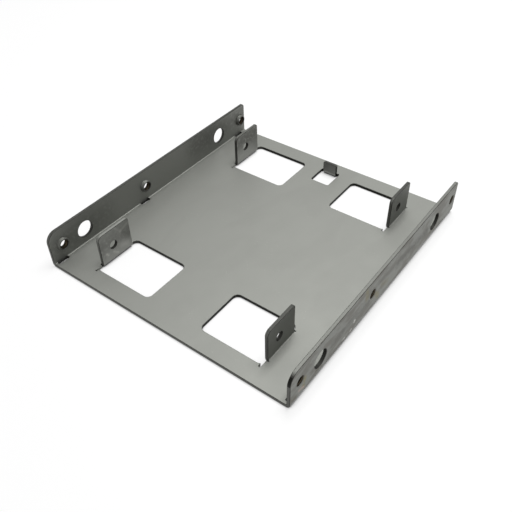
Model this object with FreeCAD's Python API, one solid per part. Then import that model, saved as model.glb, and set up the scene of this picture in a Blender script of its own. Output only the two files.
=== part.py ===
"""Drive bay adapter bracket: one folded steel sheet that carries a small drive in a larger bay.

The frame is +X across the bracket, +Y from its front edge to its back edge and +Z up. The origin is
the middle of the footprint, on the underside. All sizes are in millimetres.
"""

import FreeCAD
import Part

import os

# Sheet
sheet_thickness = 1.2
bend_inside_radius = 0.4

# Channel: the base plate and its two upturned side walls
bracket_width = 101.6
wall_height = 14.0
wall_front_corner_radius = 4.0
wall_back_corner_radius = 1.2

# Tapped holes in the side walls, drawn inwards into a collar so that the thin sheet holds a thread
side_hole_from_front = 5.2
side_hole_front_pitch = 41.61
side_hole_back_pitch = 59.99
side_hole_to_back = 3.4
side_hole_above_plate = 6.35
side_hole_diameter = 3.5
side_hole_entry_radius = 0.45
collar_diameter = 4.7
collar_height = 1.2
collar_tip_chamfer = 0.25

# Relief slots cut in the plate along the wall's inner face, below each tapped hole
wall_relief_length = 4.4
wall_relief_before_hole = 1.75
wall_relief_width = 1.25
wall_relief_corner_radius = 0.4

# The small drive that the bracket carries
drive_width = 69.85
drive_length = 100.2
drive_side_clearance = 0.1
drive_end_clearance = 1.1
drive_from_front = 1.7
drive_standoff = 2.6
drive_hole_from_end = 14.0
drive_hole_pitch = 76.6
drive_hole_height = 3.0

# Tabs lanced out of the plate and bent up beside the drive
tab_length = 14.2
tab_height = 13.5
tab_front_corner_radius = 2.0
tab_back_corner_radius = 1.0
tab_hole_diameter = 3.2
tab_behind_hole = 1.15
tab_kerf = 0.25

# Windows that the tabs leave in the plate, each with a narrow slit at the front end of its tab
window_length = 19.1
window_inner_edge = 11.2
window_past_tab_face = 0.75
window_corner_radius = 2.0
tab_slit_width = 0.8
tab_slit_overrun = 1.0

# Holes in the side walls that let a screwdriver reach the screws in the tabs
access_hole_diameter = 6.6

# Stop tab behind the drive and the opening that it leaves
stop_tab_width = 6.0
stop_tab_height = 5.8
stop_tab_corner_radius = 0.6
stop_opening_width = 8.0
stop_opening_length = 7.6
stop_opening_corner_radius = 0.8

# How far a cutter runs past the face that it cuts
cut_past = 5.0
# How far a tab's profile runs into the plate that carries it
tab_root_overlap = 0.5
# How far two directions may differ and still count as parallel
parallel_tolerance = 1e-6

# Worked out from the sizes above
bend_outside_radius = bend_inside_radius + sheet_thickness
wall_outer_x = bracket_width / 2
wall_inner_x = wall_outer_x - sheet_thickness
bracket_length = side_hole_from_front + side_hole_front_pitch + side_hole_back_pitch + side_hole_to_back
front_y = -bracket_length / 2
back_y = bracket_length / 2
side_hole_z = sheet_thickness + side_hole_above_plate
side_hole_first_y = front_y + side_hole_from_front
side_hole_middle_y = side_hole_first_y + side_hole_front_pitch
side_hole_last_y = side_hole_middle_y + side_hole_back_pitch
side_hole_ys = (side_hole_first_y, side_hole_middle_y, side_hole_last_y)
tab_inner_x = drive_width / 2 + drive_side_clearance
tab_bend_x = tab_inner_x + bend_outside_radius
window_outer_edge = tab_inner_x + window_past_tab_face
drive_front_y = front_y + drive_from_front
tab_hole_first_y = drive_front_y + drive_hole_from_end
tab_hole_ys = (tab_hole_first_y, tab_hole_first_y + drive_hole_pitch)
tab_hole_z = sheet_thickness + drive_standoff + drive_hole_height
stop_face_y = drive_front_y + drive_length + drive_end_clearance
stop_bend_y = stop_face_y + bend_outside_radius


def vec(x, y, z):
    """Return a point or a direction."""
    return FreeCAD.Vector(x, y, z)


def line(start, end):
    """Return a straight edge."""
    return Part.makeLine(start, end)


def arc(start, centre, end):
    """Return the shorter arc from start to end about a centre."""
    middle = (start + end) * 0.5 - centre
    middle.normalize()
    through = centre + middle * (start - centre).Length
    return Part.Arc(start, through, end).toShape()


def prism(edges, direction):
    """Return the solid that a closed run of edges sweeps along a direction."""
    return Part.Face(Part.Wire(edges)).extrude(direction)


def mirrored(solid):
    """Return the copy of a solid on the other side of the bracket's middle plane."""
    return solid.mirror(vec(0, 0, 0), vec(1, 0, 0))


def on_both_sides(solids):
    """Return the solids of the +X side and their copies on the -X side."""
    return solids + [mirrored(solid) for solid in solids]


def channel_blank():
    """Return plate and walls as one bent section, swept from the front edge to the back edge."""
    def half(side):
        """Return the outer and the inner edges of one side, both from the wall's top to the plate."""
        outer_top = vec(side * wall_outer_x, front_y, wall_height)
        outer_wall = vec(side * wall_outer_x, front_y, bend_outside_radius)
        outer_plate = vec(side * (wall_outer_x - bend_outside_radius), front_y, 0)
        inner_top = vec(side * wall_inner_x, front_y, wall_height)
        inner_wall = vec(side * wall_inner_x, front_y, bend_outside_radius)
        inner_plate = vec(outer_plate.x, front_y, sheet_thickness)
        centre = vec(outer_plate.x, front_y, bend_outside_radius)
        outer = [line(outer_top, outer_wall), arc(outer_wall, centre, outer_plate)]
        inner = [line(inner_top, inner_wall), arc(inner_wall, centre, inner_plate)]
        return outer, inner, line(outer_top, inner_top), outer_plate, inner_plate

    left_outer, left_inner, left_top, left_under, left_over = half(-1)
    right_outer, right_inner, right_top, right_under, right_over = half(1)
    underside = line(left_under, right_under)
    topside = line(left_over, right_over)
    outside = left_outer + [underside] + right_outer[::-1]
    inside = right_inner + [topside] + left_inner[::-1]
    return prism(outside + [right_top] + inside + [left_top], vec(0, bracket_length, 0))


def upright_outline(low, high, top, front_radius, back_radius, place, direction):
    """Return a prism whose outline is an upright plate with two rounded top corners.

    low and high are the ends along the plate, top is its height, place turns a position along the
    plate and a height into a point, and direction is the way that the outline is swept.
    """
    floor = -cut_past
    corners = [
        place(low, floor),
        place(low, top - front_radius),
        place(low + front_radius, top),
        place(high - back_radius, top),
        place(high, top - back_radius),
        place(high, floor),
    ]
    front_centre = place(low + front_radius, top - front_radius)
    back_centre = place(high - back_radius, top - back_radius)
    edges = [
        line(corners[0], corners[1]),
        arc(corners[1], front_centre, corners[2]),
        line(corners[2], corners[3]),
        arc(corners[3], back_centre, corners[4]),
        line(corners[4], corners[5]),
        line(corners[5], corners[0]),
    ]
    return prism(edges, direction)


def channel():
    """Return the plate with its two walls, their top corners rounded."""
    outline = upright_outline(
        front_y, back_y, wall_height, wall_front_corner_radius, wall_back_corner_radius,
        lambda y, z: vec(-wall_outer_x, y, z), vec(bracket_width, 0, 0),
    )
    return channel_blank().common(outline)


def rounded_block(low, high, radius, axis):
    """Return a box from low to high whose edges along an axis are rounded, or sharp at radius 0."""
    size = high - low
    block = Part.makeBox(size.x, size.y, size.z, low)
    if radius <= 0:
        return block
    edges = [edge for edge in block.Edges if abs(abs(edge.tangentAt(0) * axis) - 1) < parallel_tolerance]
    return block.makeFillet(radius, edges)


def obround(low, high):
    """Return a slot cutter from low to high that runs along Y and has fully rounded ends."""
    radius = (high.x - low.x) / 2
    middle_x = low.x + radius
    front_centre = vec(middle_x, low.y + radius, low.z)
    back_centre = vec(middle_x, high.y - radius, low.z)
    front_tip = vec(middle_x, low.y, low.z)
    back_tip = vec(middle_x, high.y, low.z)
    left_front = vec(low.x, front_centre.y, low.z)
    right_front = vec(high.x, front_centre.y, low.z)
    left_back = vec(low.x, back_centre.y, low.z)
    right_back = vec(high.x, back_centre.y, low.z)
    edges = [
        line(left_back, left_front),
        arc(left_front, front_centre, front_tip),
        arc(front_tip, front_centre, right_front),
        line(right_front, right_back),
        arc(right_back, back_centre, back_tip),
        arc(back_tip, back_centre, left_back),
    ]
    return prism(edges, vec(0, 0, high.z - low.z))


def tab_span(hole_y):
    """Return where the tab that has its hole at hole_y begins and ends along the bracket."""
    middle_y = hole_y + tab_behind_hole
    return middle_y - tab_length / 2, middle_y + tab_length / 2


def drive_window(hole_y):
    """Return the cutter of one window, with the clearance of its tab's bend and the slit before it."""
    tab_low_y, tab_high_y = tab_span(hole_y)
    low_y = hole_y + tab_behind_hole - window_length / 2
    high_y = low_y + window_length
    over = sheet_thickness + cut_past
    opening = rounded_block(
        vec(window_inner_edge, low_y, -cut_past), vec(window_outer_edge, high_y, over),
        window_corner_radius, vec(0, 0, 1),
    )
    bend_clearance = rounded_block(
        vec(tab_inner_x - sheet_thickness, tab_low_y - tab_kerf, -cut_past),
        vec(tab_bend_x, tab_high_y + tab_kerf, over), 0, vec(0, 0, 1),
    )
    slit = obround(
        vec(window_outer_edge - tab_slit_width, low_y - tab_slit_overrun, -cut_past),
        vec(window_outer_edge, tab_low_y + sheet_thickness, over),
    )
    return opening.multiFuse([bend_clearance, slit])


def bent_tab_section(place, face, bend, top):
    """Return the closed section of a tab: its root in the plate, its bend and its upright leg.

    face is the position of the tab's free face and bend that of the line where its bend starts,
    both along the way the tab looks. place turns such a position and a height into a point.
    """
    rear = face + sheet_thickness
    root = bend + tab_root_overlap
    centre = place(bend, bend_outside_radius)
    points = {
        "root_under": place(root, 0),
        "bend_under": place(bend, 0),
        "face_foot": place(face, bend_outside_radius),
        "face_top": place(face, top),
        "rear_top": place(rear, top),
        "rear_foot": place(rear, bend_outside_radius),
        "bend_over": place(bend, sheet_thickness),
        "root_over": place(root, sheet_thickness),
    }
    return [
        line(points["root_under"], points["bend_under"]),
        arc(points["bend_under"], centre, points["face_foot"]),
        line(points["face_foot"], points["face_top"]),
        line(points["face_top"], points["rear_top"]),
        line(points["rear_top"], points["rear_foot"]),
        arc(points["rear_foot"], centre, points["bend_over"]),
        line(points["bend_over"], points["root_over"]),
        line(points["root_over"], points["root_under"]),
    ]


def drive_tab(hole_y):
    """Return one side tab, bent up along the outer edge of its window."""
    low_y, high_y = tab_span(hole_y)
    section = bent_tab_section(
        lambda x, z: vec(x, low_y, z), tab_inner_x, tab_bend_x, tab_height
    )
    outline = upright_outline(
        low_y, high_y, tab_height, tab_front_corner_radius, tab_back_corner_radius,
        lambda y, z: vec(0, y, z), vec(wall_outer_x, 0, 0),
    )
    return prism(section, vec(0, tab_length, 0)).common(outline)


def stop_tab():
    """Return the small tab that stands behind the drive."""
    low_x = -stop_tab_width / 2
    section = bent_tab_section(
        lambda y, z: vec(low_x, y, z), stop_face_y, stop_bend_y, stop_tab_height
    )
    outline = upright_outline(
        low_x, -low_x, stop_tab_height, stop_tab_corner_radius, stop_tab_corner_radius,
        lambda x, z: vec(x, 0, z), vec(0, back_y, 0),
    )
    return prism(section, vec(stop_tab_width, 0, 0)).common(outline)


def stop_opening():
    """Return the cutter of the opening that the stop tab was lanced from."""
    return rounded_block(
        vec(-stop_opening_width / 2, stop_face_y - stop_opening_length, -cut_past),
        vec(stop_opening_width / 2, stop_bend_y, sheet_thickness + cut_past),
        stop_opening_corner_radius, vec(0, 0, 1),
    )


def wall_relief(hole_y):
    """Return the cutter of the slot in the plate, along the wall's inner face, below a tapped hole."""
    low_y = hole_y - wall_relief_before_hole - wall_relief_length / 2
    return rounded_block(
        vec(wall_inner_x - wall_relief_width, low_y, -cut_past),
        vec(wall_inner_x, low_y + wall_relief_length, bend_outside_radius),
        wall_relief_corner_radius, vec(0, 0, 1),
    )


def turned(points, hole_y):
    """Return the solid of revolution of a profile about a tapped hole's axis.

    points lists edges as (x, radius) pairs; a triple holds an arc's start, centre and end.
    """
    def place(pair):
        """Return the point of an (x, radius) pair, above the hole's axis."""
        return vec(pair[0], hole_y, side_hole_z + pair[1])

    edges = []
    for item in points:
        if len(item) == 3:
            edges.append(arc(place(item[0]), place(item[1]), place(item[2])))
        else:
            edges.append(line(place(item[0]), place(item[1])))
    face = Part.Face(Part.Wire(edges))
    return face.revolve(vec(0, hole_y, side_hole_z), vec(1, 0, 0), 360)


def collar(hole_y):
    """Return the drawn collar that stands on the wall's inner face, chamfered at its tip."""
    outer = collar_diameter / 2
    tip_x = wall_inner_x - collar_height
    buried_x = (wall_inner_x + wall_outer_x) / 2
    chamfer = collar_tip_chamfer
    return turned([
        ((buried_x, 0), (buried_x, outer)),
        ((buried_x, outer), (tip_x + chamfer, outer)),
        ((tip_x + chamfer, outer), (tip_x, outer - chamfer)),
        ((tip_x, outer - chamfer), (tip_x, 0)),
        ((tip_x, 0), (buried_x, 0)),
    ], hole_y)


def side_hole(hole_y):
    """Return the cutter of one tapped hole, with the rounded entry that drawing the collar leaves."""
    bore = side_hole_diameter / 2
    entry = side_hole_entry_radius
    end_x = wall_inner_x - collar_height - cut_past
    start_x = wall_outer_x + cut_past
    return turned([
        ((start_x, 0), (start_x, bore + entry)),
        ((start_x, bore + entry), (wall_outer_x, bore + entry)),
        ((wall_outer_x, bore + entry), (wall_outer_x - entry, bore + entry), (wall_outer_x - entry, bore)),
        ((wall_outer_x - entry, bore), (end_x, bore)),
        ((end_x, bore), (end_x, 0)),
        ((end_x, 0), (start_x, 0)),
    ], hole_y)


def cross_hole(diameter, low_x, high_x, y, z):
    """Return a round cutter that runs across the bracket from low_x to high_x."""
    return Part.makeCylinder(diameter / 2, high_x - low_x, vec(low_x, y, z), vec(1, 0, 0))


def bracket():
    """Return the whole folded sheet as one solid."""
    windows = [drive_window(y) for y in tab_hole_ys]
    tabs = [drive_tab(y) for y in tab_hole_ys]
    collars = [collar(y) for y in side_hole_ys]
    reliefs = [wall_relief(y) for y in side_hole_ys]
    side_holes = [side_hole(y) for y in side_hole_ys]
    tab_clear = tab_inner_x + sheet_thickness + cut_past
    tab_holes = [cross_hole(tab_hole_diameter, 0, tab_clear, y, tab_hole_z) for y in tab_hole_ys]
    access_holes = [
        cross_hole(access_hole_diameter, wall_inner_x - cut_past, wall_outer_x + cut_past, y, tab_hole_z)
        for y in tab_hole_ys
    ]
    sheet = channel().cut(on_both_sides(windows + reliefs) + [stop_opening()])
    sheet = sheet.fuse(on_both_sides(tabs + collars) + [stop_tab()])
    sheet = sheet.cut(on_both_sides(side_holes + tab_holes + access_holes))
    return sheet.removeSplitter()


os.makedirs("parts", exist_ok=True)
solid = bracket()
assert solid.isValid() and len(solid.Solids) == 1
solid.Solids[0].exportStep("parts/bracket.step")
box = solid.optimalBoundingBox(False, False)
print("bracket:", len(solid.Faces), "faces,", round(solid.Volume, 1), "mm3")
print("size:", round(box.XLength, 3), "x", round(box.YLength, 3), "x", round(box.ZLength, 3), "mm")
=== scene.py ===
"""The looks of a drive bay adapter bracket: one folded sheet of zinc-plated steel on a pale table.

Everything is in metres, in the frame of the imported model: X across the bracket, Y along its side
walls towards the back, Z up from the table.
"""

import logging
import math
from dataclasses import dataclass
from enum import Enum

import bmesh
import bpy
import numpy as np
from mathutils import Matrix, Vector

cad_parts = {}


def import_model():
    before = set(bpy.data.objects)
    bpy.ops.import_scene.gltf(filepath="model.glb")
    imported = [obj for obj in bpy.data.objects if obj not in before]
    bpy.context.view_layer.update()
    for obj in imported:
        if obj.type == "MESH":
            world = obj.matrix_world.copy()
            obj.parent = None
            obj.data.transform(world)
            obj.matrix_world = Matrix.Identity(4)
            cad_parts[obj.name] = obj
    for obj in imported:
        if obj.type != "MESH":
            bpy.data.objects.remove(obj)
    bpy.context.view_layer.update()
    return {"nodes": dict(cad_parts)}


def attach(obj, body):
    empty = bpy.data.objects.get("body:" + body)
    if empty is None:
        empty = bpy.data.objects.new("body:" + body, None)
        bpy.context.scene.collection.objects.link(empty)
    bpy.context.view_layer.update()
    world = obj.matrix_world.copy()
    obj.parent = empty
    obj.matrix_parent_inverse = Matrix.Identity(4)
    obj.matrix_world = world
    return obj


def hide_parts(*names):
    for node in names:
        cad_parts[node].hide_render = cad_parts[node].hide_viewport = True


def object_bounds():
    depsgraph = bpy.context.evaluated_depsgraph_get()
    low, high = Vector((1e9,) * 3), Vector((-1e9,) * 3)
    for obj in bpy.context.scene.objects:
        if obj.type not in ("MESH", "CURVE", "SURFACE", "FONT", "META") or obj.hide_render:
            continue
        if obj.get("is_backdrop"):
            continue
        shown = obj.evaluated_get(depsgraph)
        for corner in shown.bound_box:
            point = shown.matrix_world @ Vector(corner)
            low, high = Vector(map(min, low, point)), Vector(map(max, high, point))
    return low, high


MM = 0.001
BODY = "root"
BRACKET_NODE = "bracket"
CUT_AND_SHADE = "cut_and_shade"
BEND_HIGHLIGHT_SHARE = "bend_highlight_share"
LOG = logging.getLogger("bracket")

Colour = tuple[float, float, float, float]
Place = tuple[float, float, float]
Pair = tuple[float, float]


class Side(Enum):
    """The two side walls, each with the direction of its outer face along X."""

    LEFT = -1
    RIGHT = 1


class Station(Enum):
    """The three tapped holes of a side wall, each with its place along Y in metres."""

    FRONT = -49.9 * MM
    MIDDLE = -8.29 * MM
    BACK = 51.7 * MM


@dataclass(frozen=True)
class SteelFinish:
    """The satin zinc plating of the sheet's two skins, with a painted highlight in the bends and painted
    reflections on the right wall.
    """

    colour: Colour = (0.221, 0.226, 0.209, 1.0)
    dull_colour: Colour = (0.201, 0.205, 0.190, 1.0)
    # Painted highlight: a slightly lighter colour mixed in half way round the low bends.
    bend_highlight_colour: Colour = (0.224, 0.229, 0.212, 1.0)
    # Painted reflections and shade: the dark colour of the streaks on the right wall's outer face.
    reflection_streak_colour: Colour = (0.138, 0.133, 0.117, 1.0)
    metallic: float = 0.88
    roughness: float = 0.56
    roughness_spread: float = 0.08
    grain_size: float = 0.35 * MM
    grain_height: float = 0.004 * MM
    mottle_size: float = 9.0 * MM
    smudge_size: float = 12.0 * MM
    speck_size: float = 1.1 * MM
    smudge_strength: float = 0.35
    speck_strength: float = 0.35
    # The size and strength of those painted streaks, and how far in from the wall's outer face they still
    # show.
    streak_length: float = 9.0 * MM
    streak_width: float = 2.8 * MM
    reflection_streak_strength: float = 0.70
    streak_depth: float = 0.3 * MM


@dataclass(frozen=True)
class PatternShapes:
    """The shapes that the node groups' patterns keep wherever they are used.

    A pair named ..._shows holds the values between which a noise goes from hidden to full.
    """

    grain_detail: float = 3.0
    mottle_detail: float = 4.0
    smear_stretch: Place = (1.0, 0.45, 1.0)
    smear_turn: Place = (0.6, 0.0, 0.0)
    smear_detail: float = 3.0
    smear_distortion: float = 0.7
    smear_shows: Pair = (0.42, 0.66)
    speck_shows: Pair = (0.16, 0.05)
    speck_patch: float = 6.0 * MM
    speck_patch_shows: Pair = (0.56, 0.66)
    streak_detail: float = 3.0
    streak_shows: Pair = (0.42, 0.60)
    mark_weights: Place = (4.0, 1.0, 1.0)
    mark_break: float = 1.3 * MM
    mark_break_detail: float = 3.0
    mark_break_shows: Pair = (0.25, 0.55)


@dataclass(frozen=True)
class CutFinish:
    """The sheared faces round the sheet's outline and its holes: near black, partly their own dull steel
    and partly painted shade.
    """

    colour: Colour = (0.010, 0.010, 0.008, 1.0)
    roughness: float = 0.5


@dataclass(frozen=True)
class CutAndShadeDepths:
    """How near each kind of face comes to the full colour of a cut, from 0 to 1, which is partly painted
    shade.
    """

    # Painted light and shade: the values differ by side and by which way a face looks, as the light falls
    # on it.
    plate_edge: float = 1.0
    left_wall_end: float = 0.58
    right_wall_end: float = 1.0
    left_wall_top: float = 0.75
    right_wall_top: float = 0.33
    tab_end: float = 0.58
    left_tab_top: float = 0.42
    right_tab_top: float = 0.78
    front_left_tab_end: float = 0.28
    front_left_tab_top: float = 0.0
    # Painted shade on the stop tab's skin, which is not cut.
    stop_tab_face: float = 0.38
    broken_edge: float = 0.82
    hole_side: float = 0.90
    bore: float = 0.95
    screw_entry: float = 0.55
    collar_side: float = 0.05
    collar_tip: float = 0.45


@dataclass(frozen=True)
class Mark:
    """A soft mark along a straight line between two places: the plating's own stains and rubs, and patches
    of painted shade.
    """

    start: Place
    end: Place
    width: float
    colour: Colour
    strength: float


# The colours of the marks. Rubbed, dusty, oily, yellowed and reddish are the plating's own; the other two
# are painted shade.
RUBBED = (0.42, 0.42, 0.39, 1.0)
DUSTY = (0.80, 0.80, 0.76, 1.0)
# Painted shade: a dark colour laid on faces where the light leaves them too bright.
PAINTED_SHADE = (0.120, 0.122, 0.110, 1.0)
# Painted shade: the near black of the slots' insides by the left wall.
PAINTED_SLOT_SHADE = (0.018, 0.018, 0.015, 1.0)
OILY = (0.085, 0.070, 0.045, 1.0)
YELLOWED = (0.200, 0.180, 0.100, 1.0)
REDDISH = (0.420, 0.320, 0.290, 1.0)

TAB_FACE = -35.025 * MM
WALL_FACE = 50.8 * MM
LEFT_WALL_INNER_FACE = -49.6 * MM
SLOT_SHADE_START = -3.3
SLOT_SHADE_END = -0.2
SLOT_SHADE_HEIGHT = 0.3


def on_tab(y: float, z: float) -> Place:
    """A place on the inner face of the front left tab, from millimetres along and above it."""
    return (TAB_FACE, y * MM, z * MM)


def on_wall(y: float, z: float) -> Place:
    """A place on the outer face of the right wall, from millimetres along and above it."""
    return (WALL_FACE, y * MM, z * MM)


def on_left_wall(y: float, z: float) -> Place:
    """A place on the inner face of the left wall, from millimetres along and above it."""
    return (LEFT_WALL_INNER_FACE, y * MM, z * MM)


# On the left tabs: rubbed marks, and dark patches of painted shade.
TAB_MARKS = (
    Mark(on_tab(-31.0, 11.9), on_tab(-35.5, 10.2), 1.0 * MM, RUBBED, 0.48),
    Mark(on_tab(-37.9, 13.4), on_tab(-35.5, 10.2), 0.9 * MM, RUBBED, 0.38),
    Mark(on_tab(-35.5, 10.2), on_tab(-36.4, 8.9), 1.2 * MM, RUBBED, 0.28),
    Mark(on_tab(-33.4, 8.6), on_tab(-32.1, 6.6), 2.0 * MM, PAINTED_SHADE, 0.40),
    Mark(on_tab(-35.6, 4.6), on_tab(-33.2, 3.6), 2.2 * MM, RUBBED, 0.30),
    Mark(on_tab(-43.1, 4.8), on_tab(-42.5, 4.1), 0.8 * MM, RUBBED, 0.75),
    Mark(on_tab(-39.9, 3.9), on_tab(-38.0, 2.2), 0.7 * MM, RUBBED, 0.40),
    Mark(on_tab(-44.0, 8.5), on_tab(-32.5, 8.5), 6.5 * MM, PAINTED_SHADE, 0.60),
    Mark(on_tab(-44.6, 11.0), on_tab(-44.4, 3.5), 1.4 * MM, PAINTED_SHADE, 0.30),
    Mark(on_tab(32.0, 10.5), on_tab(44.5, 10.5), 7.0 * MM, PAINTED_SHADE, 1.00),
)
# On the right wall's outer face: the first four dark bands are painted shade, the rest dust and stains.
WALL_MARKS = (
    Mark(on_wall(-33.5, 6.6), on_wall(-26.9, 7.2), 2.2 * MM, PAINTED_SHADE, 0.60),
    Mark(on_wall(-26.9, 7.2), on_wall(-11.2, 6.4), 2.4 * MM, PAINTED_SHADE, 0.60),
    Mark(on_wall(-5.6, 9.8), on_wall(9.1, 8.5), 2.0 * MM, PAINTED_SHADE, 0.45),
    Mark(on_wall(9.1, 8.5), on_wall(30.6, 6.6), 3.2 * MM, PAINTED_SHADE, 0.90),
    Mark(on_wall(-19.8, 4.9), on_wall(-19.6, 5.2), 0.75 * MM, DUSTY, 0.95),
    Mark(on_wall(-26.7, 2.8), on_wall(-25.4, 2.6), 0.55 * MM, DUSTY, 0.45),
    Mark(on_wall(-22.3, 2.4), on_wall(-21.3, 2.8), 0.60 * MM, DUSTY, 0.50),
    Mark(on_wall(-47.7, 6.6), on_wall(-48.2, 3.6), 1.6 * MM, YELLOWED, 0.85),
    Mark(on_wall(-50.5, 3.9), on_wall(-48.3, 3.1), 0.8 * MM, REDDISH, 0.85),
    Mark(on_wall(-54.3, 3.3), on_wall(-52.4, 2.7), 1.6 * MM, OILY, 0.55),
    Mark(on_wall(-41.6, 3.5), on_wall(-38.6, 2.5), 1.1 * MM, OILY, 0.60),
    Mark(on_wall(-13.2, 12.6), on_wall(-12.2, 8.8), 1.9 * MM, YELLOWED, 0.65),
    Mark(on_wall(-6.4, 6.2), on_wall(-4.4, 3.6), 1.8 * MM, YELLOWED, 0.65),
    Mark(on_wall(-2.5, 7.5), on_wall(1.5, 5.5), 2.0 * MM, YELLOWED, 0.30),
    Mark(on_wall(34.8, 3.6), on_wall(38.5, 2.4), 1.3 * MM, OILY, 0.50),
)


def slot_shade(hole: Station) -> Mark:
    """Painted shade for the dark inside of the slot in the plate below a tapped hole, on the foot of the
    left wall.

    Args:
        hole: the tapped hole. The slot's two ends are given in millimetres from it along the wall.

    Returns:
        The mark.
    """
    hole_y = hole.value / MM
    start = on_left_wall(hole_y + SLOT_SHADE_START, SLOT_SHADE_HEIGHT)
    end = on_left_wall(hole_y + SLOT_SHADE_END, SLOT_SHADE_HEIGHT)
    return Mark(start, end, 2.0 * MM, PAINTED_SLOT_SHADE, 0.95)


# Painted shade on the left wall's inner face: two broad patches and the dark insides of the three slots.
LEFT_WALL_PAINTED_SHADE = (
    Mark(on_left_wall(-53.0, 6.5), on_left_wall(-30.0, 7.5), 9.0 * MM, PAINTED_SHADE, 0.45),
    Mark(on_left_wall(22.0, 10.0), on_left_wall(54.0, 10.0), 9.0 * MM, PAINTED_SHADE, 0.60),
    *(slot_shade(hole) for hole in Station),
)


@dataclass(frozen=True)
class ThreadFinish:
    """The cut thread of a tapped hole: a brown made very dark, partly as painted shade of the hole's
    inside, with blotches of a darker film of cutting oil.
    """

    colour: Colour = (0.050, 0.040, 0.026, 1.0)
    metallic: float = 1.0
    roughness: float = 0.38
    film_size: float = 0.8 * MM
    film_shows: Pair = (0.35, 0.7)
    film_share: float = 0.6


class NodeTools:
    """Short ways to add nodes to one shader node tree."""

    def __init__(self, tree: bpy.types.NodeTree) -> None:
        """Keeps the tree that the nodes go into."""
        self.tree = tree

    def add(self, kind: str, **settings: object) -> bpy.types.Node:
        """Adds a node and sets its properties.

        Args:
            kind: Blender's name of the node type.
            settings: properties of the node and their values.

        Returns:
            The new node.
        """
        node = self.tree.nodes.new(kind)
        for name, value in settings.items():
            setattr(node, name, value)
        return node

    def link(self, source: bpy.types.NodeSocket, target: bpy.types.NodeSocket) -> None:
        """Links one socket to another."""
        self.tree.links.new(source, target)

    def feed(self, target: bpy.types.NodeSocket, value: object) -> None:
        """Gives a socket a link, where value is a socket, or else a fixed value.

        Args:
            target: the input socket.
            value: an output socket, a number or a colour.
        """
        if isinstance(value, bpy.types.NodeSocket):
            self.link(value, target)
        else:
            target.default_value = value

    def math(self, operation: str, *values: object, clamp: bool = False) -> bpy.types.NodeSocket:
        """Adds a Math node.

        Args:
            operation: Blender's name of the operation.
            values: its inputs, as sockets or numbers.
            clamp: whether the result is kept between 0 and 1.

        Returns:
            The result's socket.
        """
        node = self.add("ShaderNodeMath", operation=operation, use_clamp=clamp)
        for target, value in zip(node.inputs, values):
            self.feed(target, value)
        return node.outputs[0]

    def noise(self, vector: object, size: float, detail: float = 2.0) -> bpy.types.NodeSocket:
        """Adds a Noise Texture whose lumps are about one size.

        Args:
            vector: the coordinate socket.
            size: the size of a lump in metres.
            detail: how many finer octaves it has.

        Returns:
            The noise value's socket, about 0.5 in the mean.
        """
        node = self.add("ShaderNodeTexNoise")
        self.feed(node.inputs["Vector"], vector)
        self.feed(node.inputs["Scale"], 1.0 / size)
        self.feed(node.inputs["Detail"], detail)
        return node.outputs["Fac"]

    def vector(self, operation: str, *values: object) -> bpy.types.NodeSocket:
        """Adds a Vector Math node.

        Args:
            operation: Blender's name of the operation.
            values: its inputs, as sockets or triples.

        Returns:
            The result's socket, which is a number for a dot product or a length.
        """
        node = self.add("ShaderNodeVectorMath", operation=operation)
        for target, value in zip(node.inputs, values):
            self.feed(target, value)
        return node.outputs["Value" if operation in ("DOT_PRODUCT", "LENGTH") else "Vector"]

    def ramp(self, value: object, low: object, high: object) -> bpy.types.NodeSocket:
        """Adds a smooth step that goes from 0 at low to 1 at high.

        Args:
            value: the value's socket.
            low: where the step starts.
            high: where the step ends.

        Returns:
            The step's socket.
        """
        node = self.add("ShaderNodeMapRange", interpolation_type="SMOOTHSTEP")
        for name, item in (("Value", value), ("From Min", low), ("From Max", high)):
            self.feed(node.inputs[name], item)
        return node.outputs["Result"]

    def mix(self, share: object, first: object, second: object) -> bpy.types.NodeSocket:
        """Adds a colour mix.

        Args:
            share: how much of the second colour shows.
            first: the first colour, as a socket or four numbers.
            second: the second colour, as a socket or four numbers.

        Returns:
            The mixed colour's socket.
        """
        node = self.add("ShaderNodeMix", data_type="RGBA")
        for name, item in (("Factor_Float", share), ("A_Color", first), ("B_Color", second)):
            self.feed(next(s for s in node.inputs if s.identifier == name), item)
        return next(s for s in node.outputs if s.identifier == "Result_Color")

    def seen_rays(self) -> bpy.types.NodeSocket:
        """A mask of the rays that show a backdrop: those of the camera, of gloss and of glass.

        Returns:
            The mask's socket, 1 for such a ray and 0 for any other.
        """
        path = self.add("ShaderNodeLightPath")
        seen = self.math("MAXIMUM", path.outputs["Is Camera Ray"], path.outputs["Is Glossy Ray"])
        return self.math("MAXIMUM", seen, path.outputs["Is Transmission Ray"])


def group_tree(
    name: str, vectors: tuple[str, ...], numbers: tuple[str, ...], outputs: tuple[str, ...],
) -> bpy.types.NodeTree:
    """Makes an empty shader node group.

    Args:
        name: the group's name.
        vectors: the names of its vector inputs, the first of which is Vector.
        numbers: the names of its number inputs.
        outputs: the names of its number outputs.

    Returns:
        The group's tree.
    """
    tree = bpy.data.node_groups.new(name, "ShaderNodeTree")
    for item in vectors:
        tree.interface.new_socket(item, in_out="INPUT", socket_type="NodeSocketVector")
    for item in numbers:
        tree.interface.new_socket(item, in_out="INPUT", socket_type="NodeSocketFloat")
    for item in outputs:
        tree.interface.new_socket(item, in_out="OUTPUT", socket_type="NodeSocketFloat")
    return tree


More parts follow.
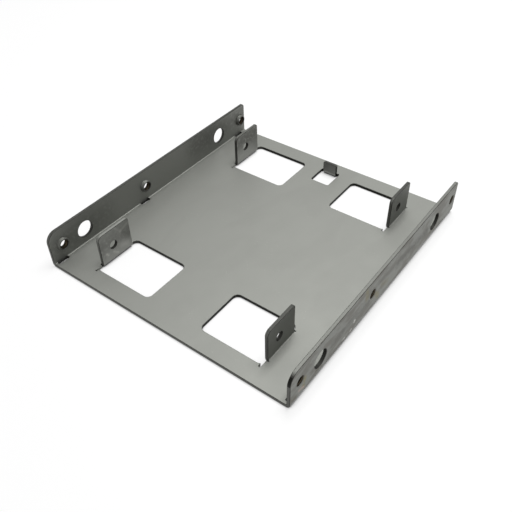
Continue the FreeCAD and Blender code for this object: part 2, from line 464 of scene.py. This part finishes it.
class Finishes:
    """The node groups and materials that the bracket and its threads share."""

    def __init__(self, shapes: PatternShapes) -> None:
        """Builds the node groups once, with patterns of the given shapes."""
        self.shapes = shapes
        self.grain = self.rolled_grain()
        self.handling = self.handling_marks()
        self.streaks = self.wall_reflection_streaks()
        self.soft = self.soft_mark()

    def rolled_grain(self) -> bpy.types.NodeTree:
        """Fine grain of rolled, plated sheet: a height and a dullness.

        Returns:
            The group's tree. Height is noise of the grain's size, and Mottle is soft blotches.
        """
        tree = group_tree(
            "rolled_grain", ("Vector",), ("Grain Scale", "Mottle Scale"), ("Height", "Mottle"),
        )
        tools = NodeTools(tree)
        start = tools.add("NodeGroupInput")
        end = tools.add("NodeGroupOutput")
        shapes = self.shapes
        patterns = (
            ("Grain Scale", shapes.grain_detail, "Height"),
            ("Mottle Scale", shapes.mottle_detail, "Mottle"),
        )
        for scale, detail, out in patterns:
            node = tools.add("ShaderNodeTexNoise")
            tools.link(start.outputs["Vector"], node.inputs["Vector"])
            tools.link(start.outputs[scale], node.inputs["Scale"])
            node.inputs["Detail"].default_value = detail
            tools.link(node.outputs["Fac"], end.inputs[out])
        return tree

    def handling_marks(self) -> bpy.types.NodeTree:
        """Smudges and specks left on the plating by handling.

        Returns:
            The group's tree. Smudge is broad soft streaks, and Speck is sparse small dots.
        """
        tree = group_tree(
            "handling_marks", ("Vector",), ("Smudge Scale", "Speck Scale"), ("Smudge", "Speck"),
        )
        tools = NodeTools(tree)
        start = tools.add("NodeGroupInput")
        end = tools.add("NodeGroupOutput")
        shapes = self.shapes
        stretch = tools.add("ShaderNodeMapping")
        stretch.inputs["Scale"].default_value = shapes.smear_stretch
        stretch.inputs["Rotation"].default_value = shapes.smear_turn
        tools.link(start.outputs["Vector"], stretch.inputs["Vector"])
        smear = tools.add("ShaderNodeTexNoise")
        smear.inputs["Detail"].default_value = shapes.smear_detail
        smear.inputs["Distortion"].default_value = shapes.smear_distortion
        tools.link(stretch.outputs["Vector"], smear.inputs["Vector"])
        tools.link(start.outputs["Smudge Scale"], smear.inputs["Scale"])
        tools.link(tools.ramp(smear.outputs["Fac"], *shapes.smear_shows), end.inputs["Smudge"])
        dots = tools.add("ShaderNodeTexVoronoi", feature="F1")
        tools.link(start.outputs["Vector"], dots.inputs["Vector"])
        tools.link(start.outputs["Speck Scale"], dots.inputs["Scale"])
        near = tools.ramp(dots.outputs["Distance"], *shapes.speck_shows)
        patches = tools.noise(start.outputs["Vector"], shapes.speck_patch)
        rare = tools.ramp(patches, *shapes.speck_patch_shows)
        tools.link(tools.math("MULTIPLY", near, rare), end.inputs["Speck"])
        return tree

    def wall_reflection_streaks(self) -> bpy.types.NodeTree:
        """Long soft dark streaks along the right wall's outer face: painted reflections and painted shade.

        Returns:
            The group's tree. Streak is noise drawn out along Y, and shows on that face alone.
        """
        tree = group_tree("wall_reflection_streaks", ("Vector",), ("Length", "Width", "Face"), ("Streak",))
        tools = NodeTools(tree)
        start = tools.add("NodeGroupInput")
        end = tools.add("NodeGroupOutput")
        parts = tools.add("ShaderNodeSeparateXYZ")
        tools.link(start.outputs["Vector"], parts.inputs[0])
        cells = tools.add("ShaderNodeCombineXYZ")
        for axis, size in (("Y", "Length"), ("Z", "Width")):
            tools.link(tools.math("DIVIDE", parts.outputs[axis], start.outputs[size]), cells.inputs[axis])
        drawn = tools.noise(cells.outputs[0], 1.0, self.shapes.streak_detail)
        shown = tools.ramp(drawn, *self.shapes.streak_shows)
        face = tools.math("GREATER_THAN", parts.outputs["X"], start.outputs["Face"])
        tools.link(tools.math("MULTIPLY", shown, face), end.inputs["Streak"])
        return tree

    def soft_mark(self) -> bpy.types.NodeTree:
        """A soft mark along the straight line from Start to End.

        The nearest point of the line is found by projection onto it, kept between its two ends.
        The mask falls smoothly from 1 on the line to 0 at Width from it, broken up by noise.
        Depth through the sheet, along X, counts four times, so a mark stays on its own face.

        Returns:
            The group's tree, which puts out Mask.
        """
        tree = group_tree("soft_mark", ("Vector", "Start", "End"), ("Width",), ("Mask",))
        tools = NodeTools(tree)
        given = tools.add("NodeGroupInput").outputs
        end = tools.add("NodeGroupOutput")
        line = tools.vector("SUBTRACT", given["End"], given["Start"])
        reach = tools.vector("SUBTRACT", given["Vector"], given["Start"])
        reach = tools.vector("MULTIPLY", reach, self.shapes.mark_weights)
        along = tools.vector("DOT_PRODUCT", reach, line)
        whole = tools.vector("DOT_PRODUCT", line, line)
        share = tools.math("DIVIDE", along, whole, clamp=True)
        nearest = tools.vector("MULTIPLY", line, share)
        gap = tools.vector("LENGTH", tools.vector("SUBTRACT", reach, nearest))
        near = tools.ramp(gap, given["Width"], 0.0)
        breaks = tools.noise(given["Vector"], self.shapes.mark_break, self.shapes.mark_break_detail)
        broken = tools.ramp(breaks, *self.shapes.mark_break_shows)
        tools.link(tools.math("MULTIPLY", near, broken), end.inputs["Mask"])
        return tree

    def new_material(
        self, name: str, metallic: float,
    ) -> tuple[bpy.types.Material, NodeTools, bpy.types.Node]:
        """Makes a material that holds only a Principled BSDF and its output.

        Args:
            name: the material's name.
            metallic: how much of the light it throws back as a metal does.

        Returns:
            The material, the tools for its tree, and the Principled BSDF.
        """
        material = bpy.data.materials.new(name)
        material.use_nodes = True
        material.node_tree.nodes.clear()
        tools = NodeTools(material.node_tree)
        shader = tools.add("ShaderNodeBsdfPrincipled")
        shader.inputs["Metallic"].default_value = metallic
        output = tools.add("ShaderNodeOutputMaterial")
        tools.link(shader.outputs["BSDF"], output.inputs["Surface"])
        return material, tools, shader

    def place(
        self, tools: NodeTools, tree: bpy.types.NodeTree, vector: object, **values: object,
    ) -> bpy.types.Node:
        """Places a node group in a material.

        Args:
            tools: the tools of the material's tree.
            tree: the group's tree.
            vector: the coordinate socket.
            values: the group's other inputs, with _ for a space in their names.

        Returns:
            The group node.
        """
        node = tools.add("ShaderNodeGroup", node_tree=tree)
        tools.feed(node.inputs["Vector"], vector)
        for name, value in values.items():
            tools.feed(node.inputs[name.replace("_", " ")], value)
        return node

    def add_marks(
        self, tools: NodeTools, place: object, colour: object, marks: tuple[Mark, ...],
    ) -> bpy.types.NodeSocket:
        """Lays marks over a colour, one after the other: the plating's own stains and rubs, and painted
        shade.

        Args:
            tools: the tools of the material's tree.
            place: the coordinate socket.
            colour: the colour's socket.
            marks: the marks.

        Returns:
            The marked colour's socket.
        """
        for mark in marks:
            spot = self.place(tools, self.soft, place, Start=mark.start, End=mark.end, Width=mark.width)
            share = tools.math("MULTIPLY", spot.outputs["Mask"], mark.strength)
            colour = tools.mix(share, colour, mark.colour)
        return colour

    def sheet_steel(self, skin: SteelFinish, cut: CutFinish) -> bpy.types.Material:
        """The bracket's material: plated skins, and dark sheared faces and painted shade where the cut
        attribute is 1.

        Args:
            skin: the finish of the plated skins.
            cut: the finish of the sheared faces.

        Returns:
            The material.
        """
        material, tools, shader = self.new_material("zinc_plated_sheet", skin.metallic)
        place = tools.add("ShaderNodeTexCoord").outputs["Object"]
        grain = self.place(
            tools, self.grain, place,
            Grain_Scale=1.0 / skin.grain_size, Mottle_Scale=1.0 / skin.mottle_size,
        )
        marks = self.place(
            tools, self.handling, place,
            Smudge_Scale=1.0 / skin.smudge_size, Speck_Scale=1.0 / skin.speck_size,
        )
        streaks = self.place(
            tools, self.streaks, place,
            Length=skin.streak_length, Width=skin.streak_width, Face=WALL_FACE - skin.streak_depth,
        )
        # How dark each face is: the sheared steel's own darkness and painted shade.
        sheared = tools.add("ShaderNodeAttribute", attribute_name=CUT_AND_SHADE).outputs["Fac"]
        # Painted highlight: 1 half way round a low bend, where the lighter bend colour is mixed in.
        bend_highlight = tools.add("ShaderNodeAttribute", attribute_name=BEND_HIGHLIGHT_SHARE).outputs["Fac"]
        dull = tools.math("MULTIPLY", marks.outputs["Smudge"], skin.smudge_strength)
        plated = tools.mix(dull, skin.colour, skin.dull_colour)
        # Painted reflections and shade, streaked along the right wall's outer face.
        drawn = tools.math("MULTIPLY", streaks.outputs["Streak"], skin.reflection_streak_strength)
        plated = tools.mix(drawn, plated, skin.reflection_streak_colour)
        specked = tools.math("MULTIPLY", marks.outputs["Speck"], skin.speck_strength)
        plated = tools.mix(specked, plated, RUBBED)
        plated = self.add_marks(tools, place, plated, TAB_MARKS + WALL_MARKS + LEFT_WALL_PAINTED_SHADE)
        plated = tools.mix(bend_highlight, plated, skin.bend_highlight_colour)
        tools.feed(shader.inputs["Base Color"], tools.mix(sheared, plated, cut.colour))
        uneven = tools.math("MULTIPLY_ADD", grain.outputs["Mottle"], skin.roughness_spread, skin.roughness)
        rough = tools.math("MULTIPLY_ADD", sheared, cut.roughness - skin.roughness, uneven)
        tools.feed(shader.inputs["Roughness"], rough)
        bump = tools.add("ShaderNodeBump")
        bump.inputs["Distance"].default_value = skin.grain_height
        tools.link(grain.outputs["Height"], bump.inputs["Height"])
        tools.link(bump.outputs["Normal"], shader.inputs["Normal"])
        return material

    def cut_thread(self, finish: ThreadFinish) -> bpy.types.Material:
        """The material of the threads.

        Args:
            finish: its colour and roughness.

        Returns:
            The material.
        """
        material, tools, shader = self.new_material("cut_thread", finish.metallic)
        place = tools.add("ShaderNodeTexCoord").outputs["Object"]
        film = tools.ramp(tools.noise(place, finish.film_size), *finish.film_shows)
        dark = tuple(finish.film_share * part for part in finish.colour[:3]) + (1.0,)
        tools.feed(shader.inputs["Base Color"], tools.mix(film, finish.colour, dark))
        shader.inputs["Roughness"].default_value = finish.roughness
        return material


@dataclass
class FoldedSheet:
    """The folded bracket itself, with softly broken edges in place of the model's sharp ones."""

    sheet_thickness: float = 1.2 * MM
    bend_outside_radius: float = 1.6 * MM
    tab_inner_face: float = 35.025 * MM
    stop_tab_face: float = 47.9 * MM
    stop_tab_half_width: float = 3.1 * MM
    side_hole_height: float = 7.55 * MM
    drive_hole_ys: Pair = (-39.4 * MM, 37.2 * MM)
    drive_hole_height: float = 6.8 * MM
    drive_hole_reach: float = 3.6 * MM
    bore_radius: float = 1.75 * MM
    screw_entry: float = 0.45 * MM
    tops_from: float = 10.3 * MM
    broken_edge: float = 0.15 * MM
    broken_edge_steps: int = 3
    flat_weight: int = 100
    merge_distance: float = 0.0004 * MM
    flat_angle: float = math.radians(0.5)
    sharp_angle: float = math.radians(35.0)
    face_gap: float = 0.02 * MM
    bore_gap: float = 0.03 * MM
    flat_skin: float = 0.985
    turned_skin: float = 0.12
    tip_slant: float = 0.3
    upward: Pair = (0.75, 0.95)
    depths: CutAndShadeDepths = CutAndShadeDepths()

    def build(self, node: bpy.types.Object, material: bpy.types.Material) -> bpy.types.Object:
        """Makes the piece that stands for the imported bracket.

        Args:
            node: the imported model's bracket.
            material: the material of the sheet.

        Returns:
            The new piece, at the origin.
        """
        blank = self.merged_copy(node)
        rounded = self.break_edges(blank)
        self.keep_inside(rounded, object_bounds())
        self.mark_faces(rounded)
        piece = bpy.data.objects.new("folded_sheet", rounded)
        bpy.context.scene.collection.objects.link(piece)
        rounded.materials.clear()
        rounded.materials.append(material)
        return piece

    def merged_copy(self, node: bpy.types.Object) -> bpy.types.Mesh:
        """A copy of the node's mesh with its loose triangles joined and its flats made whole.

        Args:
            node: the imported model's bracket.

        Returns:
            The new mesh.
        """
        work = bmesh.new()
        work.from_mesh(node.data)
        bmesh.ops.remove_doubles(work, verts=work.verts, dist=self.merge_distance)
        bmesh.ops.dissolve_limit(
            work, angle_limit=self.flat_angle, verts=work.verts, edges=work.edges,
            use_dissolve_boundaries=False,
        )
        mesh = bpy.data.meshes.new("folded_sheet_blank")
        work.to_mesh(mesh)
        work.free()
        mesh.shade_smooth()
        return mesh

    def break_edges(self, mesh: bpy.types.Mesh) -> bpy.types.Mesh:
        """Rounds every sharp edge by the same small amount.

        Args:
            mesh: the merged mesh.

        Returns:
            The rounded mesh, with normals that keep the flats flat.
        """
        holder = bpy.data.objects.new("edge_holder", mesh)
        bpy.context.scene.collection.objects.link(holder)
        bevel = holder.modifiers.new("broken_edges", "BEVEL")
        bevel.width = self.broken_edge
        bevel.segments = self.broken_edge_steps
        bevel.limit_method = "ANGLE"
        bevel.angle_limit = self.sharp_angle
        bevel.use_clamp_overlap = False
        bevel.harden_normals = False
        smooth = holder.modifiers.new("flat_skins", "WEIGHTED_NORMAL")
        smooth.mode = "FACE_AREA"
        smooth.weight = self.flat_weight
        evaluated = holder.evaluated_get(bpy.context.evaluated_depsgraph_get())
        rounded = bpy.data.meshes.new_from_object(evaluated)
        bpy.data.objects.remove(holder)
        rounded.name = "folded_sheet"
        return rounded

    def keep_inside(self, mesh: bpy.types.Mesh, box: tuple[Vector, Vector]) -> None:
        """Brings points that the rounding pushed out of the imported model's box back onto it.

        Args:
            mesh: the rounded mesh.
            box: the box's lowest and highest corner.
        """
        place = np.empty(len(mesh.vertices) * 3)
        mesh.vertices.foreach_get("co", place)
        kept = np.clip(place.reshape(-1, 3), np.array(box[0]), np.array(box[1]))
        mesh.vertices.foreach_set("co", kept.ravel())
        mesh.update()

    def mark_faces(self, mesh: bpy.types.Mesh) -> None:
        """Writes two attributes of each face: cut_and_shade and bend_highlight_share.

        The skin faces Z on the plate, X on the walls and drive tabs, and Y on the stop tab. In a
        bend it faces any way but along the bend, which runs in Y, or in X at the stop tab. A face
        that is turned out of the skin is sheared, or lies on a broken edge between the two, and
        the first attribute gives how dark it is: most on the plate, less on what stands up, and
        least on its top edges. That is partly the sheared steel's own darkness and partly painted
        shade and light, which differ by side and by which way a face looks. The collars, bores and
        screw entries have values of their own, found by their distance from the hole's axis, and
        the stop tab's skin is a little dark too, as painted shade. The first kind that fits a face
        gives its value. The second attribute is a painted highlight: 1 half way round a bend, as
        twice the product of the normal's two parts across it, and 0 on the flats.

        Args:
            mesh: the rounded mesh, whose polygons get the attributes.
        """
        count = len(mesh.polygons)
        centre = np.empty(count * 3)
        normal = np.empty(count * 3)
        mesh.polygons.foreach_get("center", centre)
        mesh.polygons.foreach_get("normal", normal)
        x, y, z = centre.reshape(-1, 3).T
        reach = np.abs(x)
        up = normal.reshape(-1, 3)[:, 2]
        across, along, upright = np.abs(normal.reshape(-1, 3)).T
        bend_top = self.bend_outside_radius
        half_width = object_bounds()[1].x
        wall_inner = half_width - self.sheet_thickness
        wall = reach > half_width - bend_top
        tab = (reach > self.tab_inner_face - self.sheet_thickness) & ~wall
        stop = (reach < self.stop_tab_half_width) & (y > self.stop_tab_face - self.sheet_thickness)
        raised = z > bend_top
        skin = np.where(wall | tab, np.hypot(across, upright), upright)
        skin = np.where(raised & (wall | tab), across, skin)
        skin = np.where(stop, np.hypot(along, upright), skin)
        skin = np.where(raised & stop, along, skin)
        off_axis = self.off_nearest(y, z, [hole.value for hole in Station], self.side_hole_height)
        off_drive = self.off_nearest(y, z, self.drive_hole_ys, self.drive_hole_height)
        by_hole = (reach > wall_inner - 2 * self.sheet_thickness) & raised
        entry_reach = self.bore_radius + self.screw_entry + self.broken_edge
        depths = self.depths
        left = x < 0
        regions = (tab & left & (y < 0), wall & left, wall, left)
        tops = (depths.front_left_tab_top, depths.left_wall_top, depths.right_wall_top, depths.left_tab_top)
        ends = (depths.front_left_tab_end, depths.left_wall_end, depths.right_wall_end, depths.tab_end)
        top = np.select(regions, tops, default=depths.right_tab_top)
        end = np.select(regions, ends, default=depths.tab_end)
        # Up-facing faces take the top value and the rest the end value: painted light and shade by
        # direction.
        low, high = self.upward
        upward = np.clip((up - low) / (high - low), 0.0, 1.0) * (raised & ((z > self.tops_from) | stop))
        standing = end + (top - end) * upward
        entry = by_hole & (reach > wall_inner) & (off_axis < entry_reach)
        collar = by_hole & (reach < wall_inner - self.face_gap)
        kinds = (
            (by_hole & (off_axis < self.bore_radius + self.bore_gap), depths.bore),
            (entry, depths.screw_entry * (1.0 - across)),
            (collar & (across > self.tip_slant), depths.collar_tip),
            (collar, depths.collar_side),
            (raised & stop & (skin > self.flat_skin), depths.stop_tab_face),
            (skin > self.flat_skin, 0.0),
            (skin > self.turned_skin, depths.broken_edge),
            (raised & (off_drive < self.drive_hole_reach), depths.hole_side),
            (raised, standing),
        )
        shares = [np.broadcast_to(value, count) for _, value in kinds]
        cut = np.select([where for where, _ in kinds], shares, default=depths.plate_edge)
        # Where the painted highlight goes: half way round each low bend.
        bend_highlight = np.where(wall | tab, 2.0 * across * upright, 0.0)
        bend_highlight = np.where(stop, 2.0 * along * upright, bend_highlight)
        bend_highlight = np.where((skin > self.flat_skin) & ~raised, bend_highlight, 0.0)
        for name, values in ((CUT_AND_SHADE, cut), (BEND_HIGHLIGHT_SHARE, bend_highlight)):
            layer = mesh.attributes.new(name, "FLOAT", "FACE")
            layer.data.foreach_set("value", values.astype(np.float32))

    def off_nearest(
        self, y: np.ndarray, z: np.ndarray, hole_ys: list[float] | Pair, hole_height: float,
    ) -> np.ndarray:
        """How far each face lies from the axis of the nearest of several holes, which lie in X.

        Args:
            y: the faces' places along the bracket.
            z: the faces' heights.
            hole_ys: the holes' places along the bracket.
            hole_height: the height of the holes.

        Returns:
            The distances.
        """
        return np.min([np.hypot(y - hole_y, z - hole_height) for hole_y in hole_ys], axis=0)


@dataclass
class TappedThreads:
    """The threads of the six tapped holes, each a closed ridge wound inside its bore."""

    pitch: float = 0.794 * MM
    bore_radius: float = 1.75 * MM
    ridge_height: float = 0.46 * MM
    ridge_root: float = 0.66 * MM
    ridge_crest: float = 0.10 * MM
    embedded: float = 0.05 * MM
    hole_height: float = 7.55 * MM
    wall_outer: float = 50.8 * MM
    tip: float = 48.4 * MM
    first_crest: float = 0.36 * MM
    last_crest: float = 0.50 * MM
    steps_a_turn: int = 48
    run_out: float = 0.2
    first_angle: float = math.radians(63.0)

    def ridge(self, side: Side, station: Station) -> bpy.types.Mesh:
        """One thread: a trapezium carried along a helix about the hole's axis, which lies in X.

        A point of the ridge is at angle a, at the radius of its corner of the trapezium, and at
        pitch times the turns made so far plus the corner's own offset along the axis. The corner's
        height runs out to nothing over the first and last fifth of a turn.

        Args:
            side: the wall that the hole is in.
            station: the hole's place along the wall.

        Returns:
            The closed mesh.
        """
        start = self.tip + self.first_crest
        end = self.wall_outer - self.last_crest
        turns = (end - start) / self.pitch
        steps = int(turns * self.steps_a_turn) + 1
        share = np.linspace(0.0, 1.0, steps)
        angle = self.first_angle + share * turns * 2 * np.pi
        fade = np.clip(np.minimum(share, 1 - share) * turns / self.run_out, 0.0, 1.0)
        half_root = self.ridge_root / 2
        half_crest = self.ridge_crest / 2
        offset = np.array([-half_root, -half_crest, half_crest, half_root])
        height = np.array([-self.embedded, self.ridge_height, self.ridge_height, -self.embedded])
        rise = np.where(height > 0, height * fade[:, None], height)
        spread = np.where(height > 0, offset * fade[:, None], offset)
        radius = self.bore_radius - rise
        along = start + (end - start) * share[:, None] + spread
        y = station.value + radius * np.cos(angle)[:, None]
        z = self.hole_height + radius * np.sin(angle)[:, None]
        x = side.value * along
        points = np.stack([np.broadcast_to(x, y.shape), y, z], axis=-1).reshape(-1, 3)
        corners = len(offset)
        row = np.arange(steps - 1)[:, None] * corners
        here = np.arange(corners)[None, :]
        after = (here + 1) % corners
        quads = np.stack([row + here, row + after, row + corners + after, row + corners + here], -1)
        faces = quads.reshape(-1, 4).tolist()
        faces.append(list(range(corners))[::-1])
        faces.append([(steps - 1) * corners + i for i in range(corners)])
        mesh = bpy.data.meshes.new("thread")
        mesh.from_pydata(points.tolist(), [], faces)
        work = bmesh.new()
        work.from_mesh(mesh)
        bmesh.ops.recalc_face_normals(work, faces=work.faces)
        work.to_mesh(mesh)
        work.free()
        mesh.validate()
        return mesh

    def build(self, material: bpy.types.Material) -> list[bpy.types.Object]:
        """Makes the six threads.

        Args:
            material: their material.

        Returns:
            The six pieces.
        """
        pieces = []
        for side in Side:
            for station in Station:
                mesh = self.ridge(side, station)
                mesh.materials.append(material)
                name = f"thread_{side.name.lower()}_{station.name.lower()}"
                piece = bpy.data.objects.new(name, mesh)
                bpy.context.scene.collection.objects.link(piece)
                pieces.append(piece)
        return pieces


@dataclass
class Studio:
    """A pale table in a dim room, under one soft light above and a little behind the bracket."""

    table_radius: float = 1.6
    table_colour: Colour = (0.92, 0.92, 0.92, 1.0)
    # Painted contact shadow: the table's colour where the bracket stands close over it.
    painted_contact_shade: Colour = (0.03, 0.03, 0.03, 1.0)
    table_roughness: float = 0.5
    table_sides: int = 96
    table_glow: float = 0.7
    contact_reach: float = 2.5 * MM
    contact_samples: int = 8
    open_table: Pair = (0.15, 0.75)
    room_behind: float = 0.27
    room_in_front: float = 0.65
    front: Place = (0.10, -0.99, 0.0)
    behind_until: float = -0.05
    in_front_from: float = 0.65
    lamp_size: float = 0.38
    lamp_power: float = 4.8
    lamp_from: Place = (0.03, 0.22, 0.71)

    def build(self) -> bpy.types.Object:
        """Makes the table, the room's light and the lamp.

        Returns:
            The table.
        """
        table = self.table()
        self.room()
        self.lamp()
        return table

    def table(self) -> bpy.types.Object:
        """The round table top, pale where nothing stands close over it, and darkened towards black near the
        bracket and in narrow slits as a painted contact shadow.

        Returns:
            The table's object.
        """
        turn = np.linspace(0.0, 2 * np.pi, self.table_sides, endpoint=False)
        rim = np.stack([np.cos(turn), np.sin(turn), np.zeros_like(turn)], axis=-1) * self.table_radius
        mesh = bpy.data.meshes.new("table_top")
        mesh.from_pydata(rim.tolist(), [], [list(range(self.table_sides))])
        material = bpy.data.materials.new("pale_table")
        material.use_nodes = True
        material.node_tree.nodes.clear()
        tools = NodeTools(material.node_tree)
        # Painted contact shadow: ambient occlusion darkens the table's colour and takes away its glow near
        # the bracket.
        contact = tools.add("ShaderNodeAmbientOcclusion", samples=self.contact_samples)
        contact.inputs["Distance"].default_value = self.contact_reach
        openness = tools.ramp(contact.outputs["AO"], *self.open_table)
        shader = tools.add("ShaderNodeBsdfPrincipled")
        tools.feed(shader.inputs["Base Color"], tools.mix(openness, self.painted_contact_shade, self.table_colour))
        shader.inputs["Roughness"].default_value = self.table_roughness
        glow = tools.add("ShaderNodeEmission")
        bright = tools.math("MULTIPLY", tools.seen_rays(), self.table_glow)
        share = tools.math("MULTIPLY", bright, openness)
        blend = tools.add("ShaderNodeMixShader")
        tools.link(share, blend.inputs[0])
        tools.link(shader.outputs["BSDF"], blend.inputs[1])
        tools.link(glow.outputs["Emission"], blend.inputs[2])
        output = tools.add("ShaderNodeOutputMaterial")
        tools.link(blend.outputs["Shader"], output.inputs["Surface"])
        mesh.materials.append(material)
        table = bpy.data.objects.new("table_top", mesh)
        bpy.context.scene.collection.objects.link(table)
        return table

    def room(self) -> None:
        """The room as light: dim behind the bracket, lighter in front of it, and white where it is seen.

        How far a direction lies in front is its dot product with the direction of the front.
        """
        world = bpy.data.worlds.new("room")
        bpy.context.scene.world = world
        world.use_nodes = True
        world.node_tree.nodes.clear()
        tools = NodeTools(world.node_tree)
        way = tools.add("ShaderNodeTexCoord").outputs["Generated"]
        ahead = tools.vector("DOT_PRODUCT", way, self.front)
        share = tools.ramp(ahead, self.behind_until, self.in_front_from)
        added = self.room_in_front - self.room_behind
        strength = tools.math("MULTIPLY_ADD", share, added, self.room_behind)
        seen = tools.seen_rays()
        light = tools.add("ShaderNodeBackground")
        light.inputs["Color"].default_value = (1.0, 1.0, 1.0, 1.0)
        tools.link(tools.math("MAXIMUM", strength, seen), light.inputs["Strength"])
        output = tools.add("ShaderNodeOutputWorld")
        tools.link(light.outputs["Background"], output.inputs["Surface"])

    def lamp(self) -> None:
        """The square soft light above the bracket."""
        data = bpy.data.lights.new("soft_light", "AREA")
        data.shape = "SQUARE"
        data.size = self.lamp_size
        data.energy = self.lamp_power
        lamp = bpy.data.objects.new("soft_light", data)
        lamp.location = self.lamp_from
        lamp.rotation_mode = "QUATERNION"
        lamp.rotation_quaternion = (-Vector(self.lamp_from)).to_track_quat("-Z", "Y")
        bpy.context.scene.collection.objects.link(lamp)


@dataclass
class PhotoCamera:
    """The camera at the photograph's viewing angle."""

    azimuth: float = math.radians(37.59)
    elevation: float = math.radians(42.71)
    roll: float = math.radians(-1.37)
    distance: float = 217.9 * MM
    target: Place = (8.075 * MM, -13.515 * MM, 5.0 * MM)
    focal_length_px: float = 628.4
    picture_width_px: float = 512.0
    sensor_width: float = 36.0
    sees_from: float = 10 * MM
    sees_to: float = 20.0

    def build(self) -> bpy.types.Object:
        """Makes the camera and gives it to the scene.

        Returns:
            The camera's object.
        """
        data = bpy.data.cameras.new("photo_camera")
        data.sensor_width = self.sensor_width
        data.lens = self.focal_length_px / self.picture_width_px * self.sensor_width
        data.clip_start = self.sees_from
        data.clip_end = self.sees_to
        camera = bpy.data.objects.new("photo_camera", data)
        camera.matrix_world = self.place()
        bpy.context.scene.collection.objects.link(camera)
        bpy.context.scene.camera = camera
        return camera

    def place(self) -> Matrix:
        """The camera's matrix: it looks at the target from its azimuth and elevation.

        Returns:
            The matrix, whose columns are right, up and back, and the place.
        """
        flat = math.cos(self.elevation)
        back = Vector((
            math.sin(self.azimuth) * flat,
            -math.cos(self.azimuth) * flat,
            math.sin(self.elevation),
        ))
        level = Vector((math.cos(self.azimuth), math.sin(self.azimuth), 0.0))
        upright = back.cross(level)
        right = math.cos(self.roll) * level + math.sin(self.roll) * upright
        up = back.cross(right)
        turn = Matrix((right, up, back)).transposed().to_4x4()
        return Matrix.Translation(Vector(self.target) + back * self.distance) @ turn


def dress(piece: bpy.types.Object) -> None:
    """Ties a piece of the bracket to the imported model.

    Args:
        piece: the piece, in place.
    """
    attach(piece, BODY)
    LOG.info("%s: %d faces", piece.name, len(piece.data.polygons))


def main() -> None:
    """Builds the bracket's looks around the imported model."""
    logging.basicConfig(level=logging.INFO, format="%(name)s: %(message)s")
    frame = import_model()
    bpy.context.scene.view_settings.view_transform = "Standard"
    finishes = Finishes(PatternShapes())
    steel = finishes.sheet_steel(SteelFinish(), CutFinish())
    sheet = FoldedSheet().build(frame["nodes"][BRACKET_NODE], steel)
    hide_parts(BRACKET_NODE)
    dress(sheet)
    for thread in TappedThreads().build(finishes.cut_thread(ThreadFinish())):
        dress(thread)
    table = Studio().build()
    table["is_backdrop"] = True
    PhotoCamera().build()


if __name__ == "__main__":
    main()
